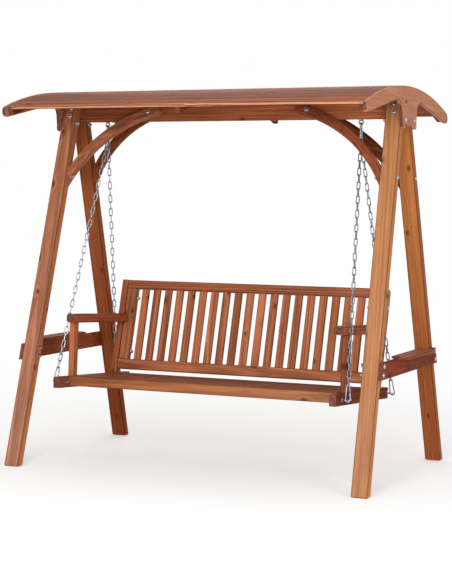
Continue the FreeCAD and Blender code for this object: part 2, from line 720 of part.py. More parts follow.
def eye_bolt(ring_centre, shank_dir, ring_axis, seat_distance, grip):
    """A ring on a threaded shank, with a collar that bears on the timber."""
    ring = Part.makeTorus(EYE_RADIUS, EYE_WIRE / 2, ring_centre, ring_axis)
    length = seat_distance - EYE_RADIUS + grip + BOLT_FLANGE_THICK + EYE_NUT["height"] + SHANK_STANDOUT
    shank = rod(ring_centre + shank_dir * EYE_RADIUS, shank_dir, length, EYE_SHANK)
    collar_start = ring_centre + shank_dir * (seat_distance - EYE_COLLAR_THICK)
    collar = rod(collar_start, shank_dir, EYE_COLLAR_THICK, EYE_COLLAR)
    return ring.fuse([shank, collar])


def beam_eye():
    centre = Vec(BEAM_EYE_X, 0, BEAM_EYE_Z)
    solid = eye_bolt(centre, Z_AXIS, Y_AXIS, BEAM_BOTTOM - BEAM_EYE_Z, BEAM_TOP - BEAM_BOTTOM)
    return solid, nut(Vec(BEAM_EYE_X, 0, BEAM_TOP), Z_AXIS, **EYE_NUT)


def rail_eye(s):
    """Eye bolt through the right side rail, in the seat's own frame."""
    centre = Vec(RAIL_EYE_X, s, RAIL_EYE_N)
    solid = eye_bolt(centre, -X_AXIS, Z_AXIS, RAIL_EYE_X - SEAT_OUTER_X, SIDE_RAIL_THICK)
    return solid, nut(Vec(SEAT_INNER_X, s, RAIL_EYE_N), -X_AXIS, **EYE_NUT)


def hook_line(hook):
    """Lower end, direction and upper end of the straight gate side of a pear-shaped snap hook."""
    wire, wide, narrow, length = hook
    lean = math.asin((wide - narrow) / length)
    out = Vec(math.cos(lean), 0, math.sin(lean))
    low = out * wide
    high = Vec(0, 0, length) + out * narrow
    return low, Vec(-math.sin(lean), 0, math.cos(lean)), high


def flipped(point):
    return Vec(-point.x, point.y, point.z)


def gate_frame(hook):
    """Placement of the gate's pin: x points out of the hook and z up along the gate."""
    low, along, high = hook_line(hook)
    return axes_placement(high - along * HINGE_DROP, Y_AXIS.cross(along), along)


def hook_body(hook):
    """Bent wire of a snap hook with the tongue and pin that carry its gate.

    The centre of the wide bend is the origin, the narrow bend lies up +z and the gate side is +x.
    """
    wire, wide, narrow, length = hook
    low, along, high = hook_line(hook)
    nose = low + along * NOSE_RUN
    end = high - along * (HINGE_DROP - wire / 2 - GATE_END_GAP)
    path = Part.Wire([
        line(nose, low),
        arc(low, Vec(0, 0, -wide), flipped(low)),
        line(flipped(low), flipped(high)),
        arc(flipped(high), Vec(0, 0, length + narrow), high),
        line(high, end)])
    section = Part.Wire([Part.Circle(nose, along, wire / 2).toShape()])
    bent = path.makePipeShell([section], True, False)
    half = TONGUE_THICK / 2
    tongue = box(-TONGUE_RADIUS, TONGUE_RADIUS, -half, half, 0, wire / 2 + TONGUE_SINK)
    round_end = rod(Vec(0, -half, 0), Y_AXIS, TONGUE_THICK, 2 * TONGUE_RADIUS)
    reach = wire / 2 + PIN_STANDOUT
    pin = rod(Vec(0, -reach, 0), Y_AXIS, 2 * reach, PIN_DIAMETER)
    hinge = placed(tongue.fuse([round_end, pin]), gate_frame(hook))
    return bent.fuse(hinge)


def hook_gate(hook):
    """Forked gate that turns on the hook's pin and closes against its nose."""
    wire = hook[0]
    low, along, high = hook_line(hook)
    length = (high - low).Length - HINGE_DROP - NOSE_RUN - GATE_NOSE_GAP
    solid = rod(ORIGIN, -Z_AXIS, length, wire).fuse(Part.makeSphere(wire / 2))
    slot = box(-wire, wire, -FORK_SLOT / 2, FORK_SLOT / 2, -FORK_SLOT_DEPTH, wire)
    solid = bored(solid.cut(slot), ORIGIN, Y_AXIS, PIN_HOLE)
    return placed(solid, gate_frame(hook))


def top_hook_place():
    """The large hook hangs in the front-to-back plane with its narrow bend over the beam eye's wire."""
    wire, wide, narrow, length = TOP_HOOK
    pivot = swing_pivot()
    crown = pivot + Z_AXIS * (EYE_WIRE / 2 + wire / 2 + WIRE_PLAY)
    return axes_placement(crown - Z_AXIS * (narrow + length), -Y_AXIS, Z_AXIS)


def swing_pivot():
    """Centre of the bottom wire of the right beam eye, about which the seat swings."""
    return Vec(BEAM_EYE_X, 0, BEAM_EYE_Z - EYE_RADIUS)


def hook_bed(side):
    """Middle of the large hook's wire where the front (-1) or rear (+1) chain lies."""
    wide = TOP_HOOK[1]
    centre = top_hook_place().Base
    return centre + Vec(0, side * math.sin(CHAIN_SPREAD), -math.cos(CHAIN_SPREAD)) * wide


def eye_wire_point(s):
    """Middle of the rail eye's outer wire, where the small hook hangs on."""
    return SEAT_PLACE.multVec(Vec(RAIL_EYE_X + EYE_RADIUS, s, RAIL_EYE_N))


def chain_axes(side, s):
    """Upward direction of a chain, and the crosswise direction that lies nearest to X."""
    up = (hook_bed(side) - eye_wire_point(s)).normalize()
    across = (X_AXIS - up * X_AXIS.dot(up)).normalize()
    return up, across


def rail_hook_place(side, s):
    """The small hook stands along its chain with its wide bend under the rail eye's wire."""
    up, across = chain_axes(side, s)
    wire, wide, narrow, length = RAIL_HOOK
    bottom = eye_wire_point(s) - up * (EYE_WIRE / 2 + wire / 2 + WIRE_PLAY)
    return axes_placement(bottom + up * wide, across, up)


def chain_link():
    """One welded link with its long axis along z and its width along x; its wire is drawn with flats."""
    radius = (LINK_INNER_WIDTH + LINK_WIRE) / 2
    straight = (LINK_INNER_LENGTH + LINK_WIRE) / 2 - radius
    corner = LINK_WIRE / 2 / math.cos(math.pi / LINK_FLATS)
    angles = [2 * math.pi * (i + 0.5) / LINK_FLATS for i in range(LINK_FLATS)]
    section = [Vec(radius + corner * math.cos(a), corner * math.sin(a), straight) for a in angles]
    disc = Part.Face(Part.makePolygon(section + section[:1]))
    bend = disc.revolve(Vec(0, 0, straight), -Y_AXIS, 180)
    side = disc.extrude(Vec(0, 0, -2 * straight))
    return bend.fuse([bend.mirror(ORIGIN, Z_AXIS), side, mirror_x(side)]).removeSplitter()


def chain(side, s, turn):
    """Links from the large hook down to the small one, each turned a quarter from the last.

    Between its two ends the chain hangs turned about its own line, which it takes up over a few links.
    """
    up, across = chain_axes(side, s)
    half = (LINK_INNER_LENGTH + LINK_WIRE) / 2
    top = hook_bed(side) + up * (TOP_HOOK[0] / 2 + LINK_WIRE / 2 + WIRE_PLAY)
    wire, wide, narrow, length = RAIL_HOOK
    crown = rail_hook_place(side, s).Base + up * (length + narrow)
    bottom = crown - up * (wire / 2 + LINK_WIRE / 2 + WIRE_PLAY)
    first, last = top - up * half, bottom + up * half
    step = (last - first) / (LINKS_PER_CHAIN - 1)
    link = chain_link()
    solids = []
    for i in range(LINKS_PER_CHAIN):
        from_end = min(i, LINKS_PER_CHAIN - 1 - i)
        angle = turn * min(1, from_end / CHAIN_TURN_LINKS) + i % 2 * math.pi / 2
        width = across * math.cos(angle) + up.cross(across) * math.sin(angle)
        solids.append(placed(link, axes_placement(first + step * i, width, up)))
    return solids


def save_frame():
    save_corners("leg", leg())
    save_corners("knee_brace", knee_brace())
    save("top_beam", [top_beam()])
    save_sides("cross_rail", cross_rail())
    save_sides("side_tray", side_tray())
    save_sides("gable_board", gable_board())
    save_sides("roof_rib", roof_rib(BEAM_HALF_LENGTH - RIB_THICK))
    save("roof_rib_middle", [roof_rib(-RIB_THICK / 2)])
    save("roof_planks", roof_planks())
    bolts, nuts = frame_fasteners()
    save("frame_bolts", bolts)
    eye, eye_nut = beam_eye()
    save("beam_eye_bolts", [eye, mirror_x(eye)])
    save("frame_nuts", nuts + [eye_nut, mirror_x(eye_nut)])


def save_seat():
    save_sides("seat_rail", placed(side_rail(), SEAT_PLACE))
    save("seat_front_board", [placed(seat_board(FRONT_BOARD_S, FRONT_BOARD_THICK), SEAT_PLACE)])
    save("seat_rear_board", [placed(seat_board(REAR_BOARD_S, REAR_BOARD_THICK), SEAT_PLACE)])
    side_bearer = placed(seat_bearer(SEAT_INNER_X - BEARER_WIDTH), SEAT_PLACE)
    middle_bearer = placed(seat_bearer(-BEARER_WIDTH / 2), SEAT_PLACE)
    save("seat_bearers", [side_bearer, middle_bearer, mirror_x(side_bearer)])
    save("seat_planks", [placed(plank, SEAT_PLACE) for plank in seat_planks()])
    save_sides("arm_post", placed(arm_post(), SEAT_PLACE))
    save_sides("armrest", placed(armrest(), SEAT_PLACE))


def save_back():
    save_sides("back_post", placed(back_post(), BACK_PLACE))
    stile = with_stile_holes(back_member(STILE_INNER_X, SEAT_INNER_X, BOTTOM_RAIL[1], TOP_RAIL_BOTTOM))
    save_sides("back_stile", placed(stile, BACK_PLACE))
    top_rail = back_member(-SEAT_INNER_X, SEAT_INNER_X, TOP_RAIL_BOTTOM, BACK_TOP)
    bottom_rail = back_member(-SEAT_INNER_X, SEAT_INNER_X, *BOTTOM_RAIL)
    save("back_top_rail", [placed(top_rail, BACK_PLACE)])
    save("back_bottom_rail", [placed(bottom_rail, BACK_PLACE)])
    save("back_slats", [placed(slat, BACK_PLACE) for slat in back_slats()])


def save_seat_fasteners():
    bolts, nuts = stile_fasteners()
    eyes = [rail_eye(s) for s in RAIL_EYE_S]
    save_pairs("back_bolts", [placed(solid, BACK_PLACE) for solid in bolts])
    save_pairs("bearer_screws", [placed(screw, SEAT_PLACE) for screw in bearer_screws()])
    save_pairs("rail_eye_bolts", [placed(eye, SEAT_PLACE) for eye, _ in eyes])
    stile_nuts = [placed(solid, BACK_PLACE) for solid in nuts]
    save_pairs("seat_nuts", stile_nuts + [placed(eye_nut, SEAT_PLACE) for _, eye_nut in eyes])


def save_suspension():
    save_sides("top_hook", placed(hook_body(TOP_HOOK), top_hook_place()))
    save_sides("top_hook_gate", placed(hook_gate(TOP_HOOK), top_hook_place()))
    small_hook, small_gate = hook_body(RAIL_HOOK), hook_gate(RAIL_HOOK)
    for name, side, s in (("front", -1, RAIL_EYE_S[0]), ("rear", 1, RAIL_EYE_S[1])):
        place = rail_hook_place(side, s)
        save_sides("rail_hook_" + name, placed(small_hook, place))
        save_sides("rail_hook_gate_" + name, placed(small_gate, place))
        save("chain_%s_right" % name, chain(side, s, 0))
        save("chain_%s_left" % name, [mirror_x(link) for link in chain(side, s, LEFT_CHAIN_TURN)])


os.makedirs("parts", exist_ok=True)
save_frame()
save_seat()
save_back()
save_seat_fasteners()
save_suspension()
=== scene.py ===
import math

import bmesh
import bpy
from mathutils import Matrix, Vector


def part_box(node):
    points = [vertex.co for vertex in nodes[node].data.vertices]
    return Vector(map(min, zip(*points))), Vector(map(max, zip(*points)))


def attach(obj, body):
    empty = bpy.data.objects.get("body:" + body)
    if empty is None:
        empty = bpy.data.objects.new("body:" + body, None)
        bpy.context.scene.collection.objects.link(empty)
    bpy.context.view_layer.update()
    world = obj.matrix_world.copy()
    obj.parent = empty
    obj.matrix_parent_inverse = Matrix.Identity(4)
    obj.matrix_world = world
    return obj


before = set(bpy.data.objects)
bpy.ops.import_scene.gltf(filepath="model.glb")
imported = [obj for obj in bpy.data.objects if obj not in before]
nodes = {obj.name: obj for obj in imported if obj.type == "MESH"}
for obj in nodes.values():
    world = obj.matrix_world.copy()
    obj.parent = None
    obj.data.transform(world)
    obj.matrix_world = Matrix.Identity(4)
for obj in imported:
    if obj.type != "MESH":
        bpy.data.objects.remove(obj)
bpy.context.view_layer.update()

# Canopy garden swing, in metres: the finish of its timber and steel, its plank screws, and a studio

MM = 0.001

# Directions and places of the timbers
LEG_LEAN = math.radians(16.4)
LEG_SPLAY = math.radians(1.1)
SEAT_TILT = math.radians(3.64)
BACK_RAKE = math.radians(12.2)
SEAT_FRONT = Vector((0, -456, 388)) * MM
SEAT_TOP = 58 * MM
SEAT_PLANK_FIRST = 140 * MM
BEARER_X = 699.5 * MM
ROOF_RADIUS = 1928 * MM
ROOF_CREST = 1882 * MM
ROOF_CENTRE_Z = ROOF_CREST - ROOF_RADIUS
ROOF_EDGE_Y = 610 * MM
ROOF_PLANK_THICK = 17 * MM
ROOF_PLANK_COUNT = 15
ROOF_HALF_TURN = math.asin(ROOF_EDGE_Y / (ROOF_RADIUS - ROOF_PLANK_THICK))
RIB_X = 906.5 * MM
BRACE_CENTRE_X = 204 * MM
BRACE_CENTRE_RISE = 1137.5 * MM
BRACE_RADIUS = 743 * MM

# Boards laid side by side in one node: how many, and how far apart
SLATS = (19, 67.8 * MM)
SEAT_PLANKS = (5, 90.2 * MM)
ROOF_PLANKS = (ROOF_PLANK_COUNT, 2 * ROOF_HALF_TURN * ROOF_RADIUS / ROOF_PLANK_COUNT)
BEARERS = (3, BEARER_X)

X = Vector((1, 0, 0))
Y = Vector((0, 1, 0))
Z = Vector((0, 0, 1))
SEAT_ALONG = Vector((0, math.cos(SEAT_TILT), -math.sin(SEAT_TILT)))
SEAT_UP = Vector((0, math.sin(SEAT_TILT), math.cos(SEAT_TILT)))
BACK_UP = SEAT_ALONG * math.sin(BACK_RAKE) + SEAT_UP * math.cos(BACK_RAKE)
BACK_FACE = BACK_UP.cross(X)


def linear(hex_colour):
    """An sRGB hex colour as linear RGBA."""
    channels = [int(hex_colour[i:i + 2], 16) / 255 for i in (1, 3, 5)]
    return [c / 12.92 if c <= 0.04045 else ((c + 0.055) / 1.055) ** 2.4 for c in channels] + [1.0]


def per_metre(size):
    """How many times a pattern of this size repeats in a metre, along, across and through a board."""
    return [1 / length for length in size]


def add(tree, kind, inputs=None, stops=(), **settings):
    """A node with its settings, its colour stops, and its inputs set to values or linked to outputs."""
    made = tree.nodes.new(kind)
    for name, value in settings.items():
        setattr(made, name, value)
    for index, (position, colour) in enumerate(stops):
        stop = made.color_ramp.elements[index]
        stop.position = position
        stop.color = linear(colour)
    for name, value in (inputs or {}).items():
        if isinstance(value, bpy.types.NodeSocket):
            tree.links.new(value, made.inputs[name])
        else:
            made.inputs[name].default_value = value
    return made


def new_material(name):
    material = bpy.data.materials.new(name)
    material.use_nodes = True
    material.node_tree.nodes.clear()
    return material, material.node_tree


# Grain: coordinates along, across and through each timber


def straight_grain(node, along, face):
    """Lays the grain along a straight board, measured from the middle of its node."""
    low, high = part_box(node)
    middle = (Vector(low) + Vector(high)) / 2
    out = face - along * face.dot(along)
    axes = (along.normalized(), out.cross(along).normalized(), out.normalized())
    turn = Matrix(axes).transposed().to_euler()

    def coords(tree, place):
        inputs = {"Vector": place, "Location": middle, "Rotation": turn}
        return add(tree, "ShaderNodeMapping", inputs, vector_type="TEXTURE").outputs["Vector"]
    return coords, axes


def round_a_centre(tree, run, rise, radius):
    """Length round an arc of this radius, and depth out from it."""
    angle = add(tree, "ShaderNodeMath", {0: run, 1: rise}, operation="ARCTAN2")
    arc = add(tree, "ShaderNodeMath", {0: angle.outputs[0], 1: radius}, operation="MULTIPLY")
    flat = add(tree, "ShaderNodeCombineXYZ", {"X": run, "Y": rise})
    away = add(tree, "ShaderNodeVectorMath", {0: flat.outputs[0]}, operation="LENGTH")
    depth = add(tree, "ShaderNodeMath", {0: away.outputs["Value"], 1: radius}, operation="SUBTRACT")
    return arc.outputs[0], depth.outputs[0]


def arched_grain(tree, place):
    """Along the roof planks, round the arch and out from it."""
    split = add(tree, "ShaderNodeSeparateXYZ", {"Vector": place})
    rise = add(tree, "ShaderNodeMath", {0: split.outputs["Z"], 1: ROOF_CENTRE_Z}, operation="SUBTRACT")
    arc, depth = round_a_centre(tree, split.outputs["Y"], rise.outputs[0], ROOF_RADIUS)
    joined = {"X": split.outputs["X"], "Y": arc, "Z": depth}
    return add(tree, "ShaderNodeCombineXYZ", joined).outputs[0]


def bent_grain(side):
    """Along the curve of a knee brace, across its radius and through its thickness."""
    def coords(tree, place):
        split = add(tree, "ShaderNodeSeparateXYZ", {"Vector": place})
        run = {0: split.outputs["X"], 1: side, 2: -BRACE_CENTRE_X}
        run = add(tree, "ShaderNodeMath", run, operation="MULTIPLY_ADD")
        rise = {0: split.outputs["Z"], 1: 1 / math.cos(LEG_LEAN), 2: -BRACE_CENTRE_RISE}
        rise = add(tree, "ShaderNodeMath", rise, operation="MULTIPLY_ADD")
        arc, depth = round_a_centre(tree, run.outputs[0], rise.outputs[0], BRACE_RADIUS)
        joined = {"X": arc, "Y": depth, "Z": split.outputs["Y"]}
        return add(tree, "ShaderNodeCombineXYZ", joined).outputs[0]
    return coords


# Stained softwood

KNOT = "#40200f"
END_GRAIN = "#6f4436"

# Knots: their size, the cells that may hold one, and how they are drawn out along and through boards
KNOT_RADIUS = 12 * MM
KNOT_CELL = Vector((320, 80, 80)) * MM
KNOT_STRETCH = Vector((0.6, 1, 0.1))
KNOT_RARITY = 0.5
KNOT_STRENGTH = 0.7
# Where a knot is fully dark, where it ends, and how far off the rings bend, in knot radii
KNOT_CORE = 0.3
KNOT_RIM = 1.2
KNOT_REACH = 3.0

# Growth rings, and the heart of the trunk that a board was sawn from
RING_GAP = 6 * MM
RING_FRAY = 0.5
RING_BEND = 1.2
RING_SPAN = (0.3, 0.7)
TRUNK_TAPER = 0.02
HEART_LEAST = Vector((0, -20, 60)) * MM
HEART_SPREAD = Vector((7000, 220, 140)) * MM
WANDER_SIZE = Vector((600, 200, 200)) * MM
WANDER = 12 * MM
FIBRE_SIZE = Vector((140, 2.1, 2.1)) * MM

# Glaze: sizes along, across and through a board, and depths of its lights and darks
CLOUD_SIZE = Vector((400, 40, 40)) * MM
CLOUD_DEPTH = 0.7
STREAK_SIZE = Vector((250, 9, 9)) * MM
# Distance each side of the middle over which the colour, partly painted light, shifts from end to end
FADE_REACH = 700 * MM
# In a single timber the streaks deepen with the strength of the rings
STREAK_SHARE = 5.0
SINGLE_DEPTH = 0.24
# In boards laid side by side the tone changes from board to board
LAID_STREAKS = 0.9
LAID_DEPTH = 0.45
# How squarely a face looks one way, from where it starts to count to where it counts fully
ARRIS_SPAN = (0.35, 0.65)
ARRIS_LEVEL = 0.45
SQUARE_SPAN = (0.6, 0.85)

# Satin surface
GLAZE_IOR = 1.5
GLAZE_SHEEN = 0.06
GLAZE_ROUGHNESS = 0.42
FIBRE_ROUGHNESS = 0.3
RING_RELIEF = 0.3
RELIEF_STRENGTH = 0.4
RELIEF_DEPTH = 0.4 * MM


def own_board(tree, local, boards, seed):
    """A place measured from the middle of its own board, and the chances drawn for that board."""
    chance = add(tree, "ShaderNodeTexWhiteNoise", {"W": seed}, noise_dimensions="1D")
    if not boards:
        return local, chance
    count, pitch = boards
    split = add(tree, "ShaderNodeSeparateXYZ", {"Vector": local})
    steps = {0: split.outputs["Y"], 1: 1 / pitch, 2: count / 2}
    steps = add(tree, "ShaderNodeMath", steps, operation="MULTIPLY_ADD")
    number = add(tree, "ShaderNodeMath", {0: steps.outputs[0]}, operation="FLOOR").outputs[0]
    shuffled = add(tree, "ShaderNodeMath", {0: number, 1: seed}, operation="ADD")
    tree.links.new(shuffled.outputs[0], chance.inputs["W"])
    back = {0: number, 1: -pitch, 2: (count - 1) / 2 * pitch}
    back = add(tree, "ShaderNodeMath", back, operation="MULTIPLY_ADD")
    to_middle = add(tree, "ShaderNodeCombineXYZ", {"Y": back.outputs[0]})
    shifted = {0: local, 1: to_middle.outputs[0]}
    return add(tree, "ShaderNodeVectorMath", shifted, operation="ADD").outputs[0], chance


def trunk(tree, local, chance):
    """A place in the trunk that its board was sawn from, as it was and as the trunk wanders."""
    # The heart of the tree is 60 to 200 mm behind the board's face and up to 200 mm to one side
    heart = {0: chance.outputs["Color"], 1: HEART_SPREAD, 2: HEART_LEAST}
    heart = add(tree, "ShaderNodeVectorMath", heart, operation="MULTIPLY_ADD")
    wood = {0: local, 1: heart.outputs[0]}
    wood = add(tree, "ShaderNodeVectorMath", wood, operation="ADD").outputs[0]
    bends_at = {0: wood, 1: per_metre(WANDER_SIZE)}
    bends_at = add(tree, "ShaderNodeVectorMath", bends_at, operation="MULTIPLY")
    bends = {"Vector": bends_at.outputs[0], "Scale": 1.0, "Detail": 1.0}
    bends = add(tree, "ShaderNodeTexNoise", bends)
    sway = {0: bends.outputs["Color"], 1: (0, WANDER, WANDER), 2: (0, -WANDER / 2, -WANDER / 2)}
    sway = add(tree, "ShaderNodeVectorMath", sway, operation="MULTIPLY_ADD")
    wavy = {0: wood, 1: sway.outputs[0]}
    return wood, add(tree, "ShaderNodeVectorMath", wavy, operation="ADD").outputs[0]


def knots(tree, wavy):
    """How dark a knot is at a place, and how far the rings bend round it.

    Knots are about 24 mm across, lie in some cells of a coarse grid and run through boards like branches.
    """
    cell_at = {0: wavy, 1: per_metre(KNOT_CELL)}
    cell_at = add(tree, "ShaderNodeVectorMath", cell_at, operation="MULTIPLY").outputs[0]
    cell = add(tree, "ShaderNodeTexVoronoi", {"Vector": cell_at, "Scale": 1.0})
    apart = {0: cell_at, 1: cell.outputs["Position"]}
    apart = add(tree, "ShaderNodeVectorMath", apart, operation="SUBTRACT")
    apart = {0: apart.outputs[0], 1: KNOT_CELL * KNOT_STRETCH}
    apart = add(tree, "ShaderNodeVectorMath", apart, operation="MULTIPLY")
    away = add(tree, "ShaderNodeVectorMath", {0: apart.outputs[0]}, operation="LENGTH").outputs["Value"]
    lot = add(tree, "ShaderNodeSeparateXYZ", {"Vector": cell.outputs["Color"]})
    chosen = {0: lot.outputs["X"], 1: KNOT_RARITY}
    chosen = add(tree, "ShaderNodeMath", chosen, operation="GREATER_THAN").outputs[0]
    near = {"Value": away, "From Min": KNOT_REACH * KNOT_RADIUS, "From Max": 0.0, "To Max": RING_BEND}
    near = add(tree, "ShaderNodeMapRange", near, interpolation_type="SMOOTHSTEP")
    core = {
        "Value": away,
        "From Min": KNOT_RIM * KNOT_RADIUS,
        "From Max": KNOT_CORE * KNOT_RADIUS,
        "To Max": KNOT_STRENGTH}
    core = add(tree, "ShaderNodeMapRange", core, interpolation_type="SMOOTHSTEP")
    dark = add(tree, "ShaderNodeMath", {0: chosen, 1: core.outputs[0]}, operation="MULTIPLY")
    bend = add(tree, "ShaderNodeMath", {0: chosen, 1: near.outputs[0]}, operation="MULTIPLY")
    return dark.outputs[0], bend.outputs[0]


def growth_rings(tree, wavy, bend, fibre):
    """Growth rings, some close and some wide.

    Real ones are about 3 mm apart, which is too fine to show, so they are drawn about 6 mm apart.
    """
    ring_at = {0: wavy, 1: (TRUNK_TAPER, 1, 1)}
    ring_at = add(tree, "ShaderNodeVectorMath", ring_at, operation="MULTIPLY")
    radius = add(tree, "ShaderNodeVectorMath", {0: ring_at.outputs[0]}, operation="LENGTH")
    ring = {0: radius.outputs["Value"], 1: 1 / RING_GAP, 2: bend}
    ring = add(tree, "ShaderNodeMath", ring, operation="MULTIPLY_ADD")
    frayed = {0: fibre, 1: RING_FRAY, 2: ring.outputs[0]}
    frayed = add(tree, "ShaderNodeMath", frayed, operation="MULTIPLY_ADD")
    rings = {"W": frayed.outputs[0], "Scale": 1.0, "Detail": 2.0}
    return add(tree, "ShaderNodeTexNoise", rings, noise_dimensions="1D").outputs["Fac"]


def glaze_level(tree, wood, wavy, chance, streak_depth, board_depth):
    """How light the glaze is: cloudy patches 400 by 40 mm, streaks along the grain, each board's tone.

    Real streaks are about 3 mm wide, which is too fine to show, so they are drawn about 9 mm wide.
    """
    base = 1 - (CLOUD_DEPTH + streak_depth + board_depth) / 2
    cloud_at = {0: wood, 1: per_metre(CLOUD_SIZE)}
    cloud_at = add(tree, "ShaderNodeVectorMath", cloud_at, operation="MULTIPLY")
    cloud = {"Vector": cloud_at.outputs[0], "Scale": 1.0, "Detail": 5.0, "Roughness": 0.65}
    cloud = add(tree, "ShaderNodeTexNoise", cloud)
    level = {0: cloud.outputs["Fac"], 1: CLOUD_DEPTH, 2: base}
    level = add(tree, "ShaderNodeMath", level, operation="MULTIPLY_ADD")
    streak_at = {0: wavy, 1: per_metre(STREAK_SIZE)}
    streak_at = add(tree, "ShaderNodeVectorMath", streak_at, operation="MULTIPLY")
    streak = {"Vector": streak_at.outputs[0], "Scale": 1.0, "Detail": 3.0, "Roughness": 0.6}
    streak = add(tree, "ShaderNodeTexNoise", streak)
    level = {0: streak.outputs["Fac"], 1: streak_depth, 2: level.outputs[0]}
    level = add(tree, "ShaderNodeMath", level, operation="MULTIPLY_ADD")
    level = {0: chance.outputs["Value"], 1: board_depth, 2: level.outputs[0]}
    return add(tree, "ShaderNodeMath", level, operation="MULTIPLY_ADD").outputs[0]


def faces(tree, normal, axes):
    """How squarely the surface faces along, across and out of a board, each from 0 to 1."""
    squarely = []
    for axis in axes:
        dot = add(tree, "ShaderNodeVectorMath", {0: normal, 1: axis}, operation="DOT_PRODUCT")
        size = add(tree, "ShaderNodeMath", {0: dot.outputs["Value"]}, operation="ABSOLUTE")
        squarely.append(size.outputs[0])
    return squarely


def turned_to(tree, squarely, colour, other):
    """Another colour on the faces that look squarely one way."""
    share = {"Value": squarely, "From Min": SQUARE_SPAN[0], "From Max": SQUARE_SPAN[1]}
    share = add(tree, "ShaderNodeMapRange", share)
    mixed = {"Factor": share.outputs[0], "A": colour, "B": linear(other)}
    return add(tree, "ShaderNodeMix", mixed, data_type="RGBA").outputs["Result"]


def darker_arrises(tree, sideways, outward, level):
    """Arrises, which face two ways at once, are drawn darker."""
    slanted = add(tree, "ShaderNodeMath", {0: sideways, 1: outward}, operation="MINIMUM")
    darker = {
        "Value": slanted.outputs[0],
        "From Min": ARRIS_SPAN[0],
        "From Max": ARRIS_SPAN[1],
        "To Min": 1.0,
        "To Max": ARRIS_LEVEL}
    darker = add(tree, "ShaderNodeMapRange", darker)
    level = {0: level, 1: darker.outputs[0]}
    return add(tree, "ShaderNodeMath", level, operation="MULTIPLY").outputs[0]


def fibres(tree, wavy):
    """Fibres about 2 mm wide, which fray the rings and roughen the surface."""
    fibre_at = {0: wavy, 1: per_metre(FIBRE_SIZE)}
    fibre_at = add(tree, "ShaderNodeVectorMath", fibre_at, operation="MULTIPLY")
    fibre = {"Vector": fibre_at.outputs[0], "Scale": 1.0, "Detail": 2.0}
    return add(tree, "ShaderNodeTexNoise", fibre).outputs["Fac"]


def glaze_with_painted_light_along(tree, local, tones):
    """The colour of a long timber changes from its lower or left end to its far end: partly the glaze,
    and partly painted light where the light falls more or less strongly along it.
    """
    ends = add(tree, "ShaderNodeSeparateXYZ", {"Vector": local})
    reach = {"Value": ends.outputs["X"], "From Min": -FADE_REACH, "From Max": FADE_REACH}
    reach = add(tree, "ShaderNodeMapRange", reach)
    glaze = {"Factor": reach.outputs[0], "A": linear(tones[0]), "B": linear(tones[1])}
    return add(tree, "ShaderNodeMix", glaze, data_type="RGBA").outputs["Result"]


def stained_softwood(name, tones, figure, grain, axes, seed, boards=None, edge=None):
    """Fir or larch, planed and brushed with a brown oil glaze.

    The eye sees growth rings as fine lines and long arches along each board, a dark knot here and
    there, cloudy patches and streaks where the glaze sank in, darker arrises, greyer sawn ends, boards
    that differ a little in tone, and a thin satin sheen. Painted light also makes some timbers lighter
    or darker towards one end and on their long side faces.
    """
    material, tree = new_material(name)
    texture = add(tree, "ShaderNodeTexCoord")
    local, chance = own_board(tree, grain(tree, texture.outputs["Object"]), boards, seed)
    wood, wavy = trunk(tree, local, chance)
    dark_knot, bend = knots(tree, wavy)
    fibre = fibres(tree, wavy)
    rings = growth_rings(tree, wavy, bend, fibre)
    # Painted light: the colour shifts along the timber from one end to the other
    colour = glaze_with_painted_light_along(tree, local, tones)
    if axes:
        endwise, sideways, outward = faces(tree, texture.outputs["Normal"], axes)
        if edge:
            # Painted light: the long side faces get their own colour, as the light falls on them
            # differently from the broad faces
            colour = turned_to(tree, sideways, colour, edge)
    colour = {"Factor": dark_knot, "A": colour, "B": linear(KNOT)}
    colour = add(tree, "ShaderNodeMix", colour, data_type="RGBA").outputs["Result"]
    figured = {
        "Value": rings,
        "From Min": RING_SPAN[0],
        "From Max": RING_SPAN[1],
        "To Min": 1 - figure,
        "To Max": 1 + figure}
    figured = add(tree, "ShaderNodeMapRange", figured)
    depths = (LAID_STREAKS, LAID_DEPTH) if boards else (STREAK_SHARE * figure, SINGLE_DEPTH)
    level = {0: glaze_level(tree, wood, wavy, chance, *depths), 1: figured.outputs[0]}
    level = add(tree, "ShaderNodeMath", level, operation="MULTIPLY").outputs[0]
    if axes:
        level = darker_arrises(tree, sideways, outward, level)
        colour = turned_to(tree, endwise, colour, END_GRAIN)
    toned = add(tree, "ShaderNodeHueSaturation", {"Color": colour, "Value": level})
    rough = {0: fibre, 1: FIBRE_ROUGHNESS, 2: GLAZE_ROUGHNESS}
    rough = add(tree, "ShaderNodeMath", rough, operation="MULTIPLY_ADD")
    height = add(tree, "ShaderNodeMath", {0: rings, 1: RING_RELIEF, 2: fibre}, operation="MULTIPLY_ADD")
    relief = {"Height": height.outputs[0], "Strength": RELIEF_STRENGTH, "Distance": RELIEF_DEPTH}
    relief = add(tree, "ShaderNodeBump", relief)
    shader = add(tree, "ShaderNodeBsdfPrincipled", {
        "Base Color": toned.outputs["Color"],
        "Roughness": rough.outputs[0],
        "Normal": relief.outputs["Normal"],
        "IOR": GLAZE_IOR,
        "Specular IOR Level": GLAZE_SHEEN})
    add(tree, "ShaderNodeOutputMaterial", {"Surface": shader.outputs["BSDF"]})
    return material


# Zinc-plated steel

PLATING_CLOUD = 12 * MM
PLATING_SPAN = (0.3, 0.7)
PLATING_ROUGHNESS = 0.2
DRAWING_MARK = 1 * MM
MARK_STRENGTH = 0.12
MARK_DEPTH = 0.1 * MM


